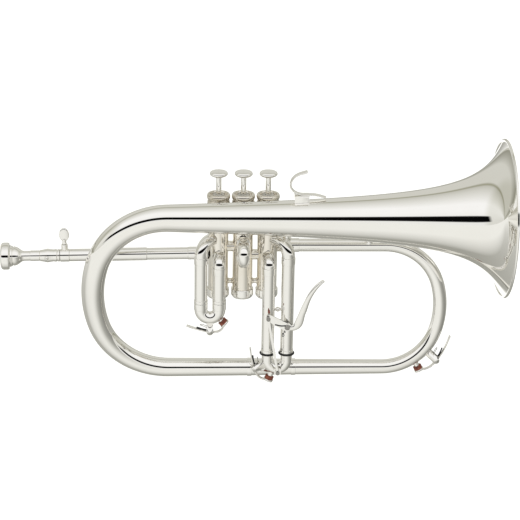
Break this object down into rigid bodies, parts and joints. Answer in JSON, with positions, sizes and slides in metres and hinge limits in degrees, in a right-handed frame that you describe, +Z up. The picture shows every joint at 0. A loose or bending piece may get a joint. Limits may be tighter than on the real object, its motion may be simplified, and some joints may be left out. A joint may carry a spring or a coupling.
{
  "type": "flugelhorn",
  "caption": "Silver-plated conical brass horn with piston valves, a wide bell, a leadpipe with clamp and mouthpiece, tuning slides, a slide trigger and water keys.",
  "frame": {"origin": "on the second valve's upright axis, in the valve block that the left hand grips, about half way up the casings", "axes": "+X along the bell towards its mouth, +Z up along the valves towards the finger buttons, -Y to the player's right"},
  "size_m": [0.4861, 0.1534, 0.2542],
  "materials": {
    "silver_plate": "polished silver plate",
    "valve_silver": "polished silver plate",
    "piston_metal": "lapped nickel alloy",
    "bumper_rubber": "matt rubber",
    "blued_steel": "blued steel",
    "spring_steel": "drawn wire",
    "cork": "dark red-brown cork",
    "felt": "white felt",
    "guide_plastic": "moulded nylon"
  },
  "bodies": {
    "instrument": {"bell": "silver_plate", "bell_bow": "silver_plate", "bottom_tube": "silver_plate", "front_bow": "silver_plate", "tube_ferrules": "silver_plate", "tube_braces": "silver_plate", "valve_connectors": "silver_plate", "first_slide_sleeves": "silver_plate", "second_slide_sleeves": "silver_plate", "third_slide_sleeves": "silver_plate", "slide_bumper_rings": "bumper_rubber", "leadpipe": "silver_plate", "clamp_collar": "silver_plate", "finger_hook": "silver_plate", "trigger_bracket": "silver_plate", "trigger_pivot_screw": "blued_steel", "trigger_spring": "blued_steel", "trigger_bumper": "cork", "top_caps": "silver_plate", "bottom_caps": "silver_plate", "cap_felts": "felt", "valve_guides": "guide_plastic", "valve_casing_1": "valve_silver", "valve_casing_2": "valve_silver", "valve_casing_3": "valve_silver", "valve_spring_1": "spring_steel", "valve_spring_2": "spring_steel", "valve_spring_3": "spring_steel", "water_key_saddle_3": "silver_plate", "water_key_spring_3": "spring_steel"},
    "clamp_screw": {"clamp_screw": "silver_plate"},
    "tuning_shank": {"tuning_shank": "silver_plate"},
    "mouthpiece": {"mouthpiece": "silver_plate"},
    "first_slide": {"first_slide": "silver_plate", "water_key_saddle_1": "silver_plate", "water_key_spring_1": "spring_steel"},
    "second_slide": {"second_slide": "silver_plate"},
    "third_slide": {"third_slide": "silver_plate", "water_key_saddle_2": "silver_plate", "water_key_spring_2": "spring_steel"},
    "trigger_lever": {"trigger_lever": "silver_plate"},
    "trigger_rod": {"trigger_rod": "silver_plate", "rod_screws": "blued_steel"},
    "valve_1": {"piston_1": "piston_metal", "valve_stem_1": "silver_plate", "finger_button_1": "silver_plate"},
    "water_key_1": {"water_key_lever_1": "silver_plate", "water_key_cork_1": "cork"},
    "valve_2": {"piston_2": "piston_metal", "valve_stem_2": "silver_plate", "finger_button_2": "silver_plate"},
    "water_key_2": {"water_key_lever_2": "silver_plate", "water_key_cork_2": "cork"},
    "valve_3": {"piston_3": "piston_metal", "valve_stem_3": "silver_plate", "finger_button_3": "silver_plate"},
    "water_key_3": {"water_key_lever_3": "silver_plate", "water_key_cork_3": "cork"}
  },
  "joints": [
    {"name": "valve_1_press", "type": "slide", "parent": "instrument", "child": "valve_1", "axis": [0, 0, -1], "range_m": [0, 0.0155], "stiffness_N_per_m": 110, "springref_m": -0.018, "deforming": ["valve_spring_1"]},
    {"name": "valve_2_press", "type": "slide", "parent": "instrument", "child": "valve_2", "axis": [0, 0, -1], "range_m": [0, 0.0155], "stiffness_N_per_m": 110, "springref_m": -0.018, "deforming": ["valve_spring_2"]},
    {"name": "valve_3_press", "type": "slide", "parent": "instrument", "child": "valve_3", "axis": [0, 0, -1], "range_m": [0, 0.0155], "stiffness_N_per_m": 110, "springref_m": -0.018, "deforming": ["valve_spring_3"]},
    {"name": "clamp_turn", "type": "hinge", "parent": "instrument", "child": "clamp_screw", "pos_m": [-0.17358, 0, 0.00716], "axis": [-0.0183, 0, 0.9998], "range_deg": [0, 180]},
    {"name": "tuning_shank_slide", "type": "slide", "parent": "instrument", "child": "tuning_shank", "axis": [-0.9998, 0, -0.0183], "range_m": [0, 0.02]},
    {"name": "mouthpiece_pull", "type": "slide", "parent": "tuning_shank", "child": "mouthpiece", "axis": [-0.9998, 0, -0.0183], "range_m": [0, 0.03]},
    {"name": "first_slide_pull", "type": "slide", "parent": "instrument", "child": "first_slide", "axis": [0, 0, -1], "range_m": [0, 0.018]},
    {"name": "second_slide_pull", "type": "slide", "parent": "instrument", "child": "second_slide", "axis": [0, -1, 0], "range_m": [0, 0.007]},
    {"name": "third_slide_push", "type": "slide", "parent": "instrument", "child": "third_slide", "axis": [0, 0, -1], "range_m": [0, 0.013]},
    {"name": "trigger_pull", "type": "hinge", "parent": "instrument", "child": "trigger_lever", "pos_m": [0.0439, -0.0285, -0.0574], "axis": [0, -1, 0], "range_deg": [0, 36.6], "stiffness_Nm_per_rad": 0.1, "springref_deg": -20.05},
    {"name": "trigger_rod_swing", "type": "hinge", "parent": "trigger_lever", "child": "trigger_rod", "pos_m": [0.0249, -0.0305, -0.0479], "axis": [0, -1, 0], "range_deg": [-34, 0]},
    {"name": "water_key_1_press", "type": "hinge", "parent": "first_slide", "child": "water_key_1", "pos_m": [-0.032, -0.018, -0.0654], "axis": [0, 1, 0], "range_deg": [0, 10], "stiffness_Nm_per_rad": 0.02, "springref_deg": -45.84},
    {"name": "water_key_2_press", "type": "hinge", "parent": "third_slide", "child": "water_key_2", "pos_m": [0.0134, -0.018, -0.1055], "axis": [0, 1, 0], "range_deg": [0, 10], "stiffness_Nm_per_rad": 0.02, "springref_deg": -45.84},
    {"name": "water_key_3_press", "type": "hinge", "parent": "instrument", "child": "water_key_3", "pos_m": [0.1961, -0.0011, -0.1045], "axis": [0, -1, 0], "range_deg": [0, 10], "stiffness_Nm_per_rad": 0.02, "springref_deg": -45.84}
  ],
  "couplings": [
    {"joint": "trigger_pull", "follows": "third_slide_push", "rad_per_m": 48.985},
    {"joint": "trigger_rod_swing", "follows": "third_slide_push", "rad_per_m": -45.485}
  ]
}
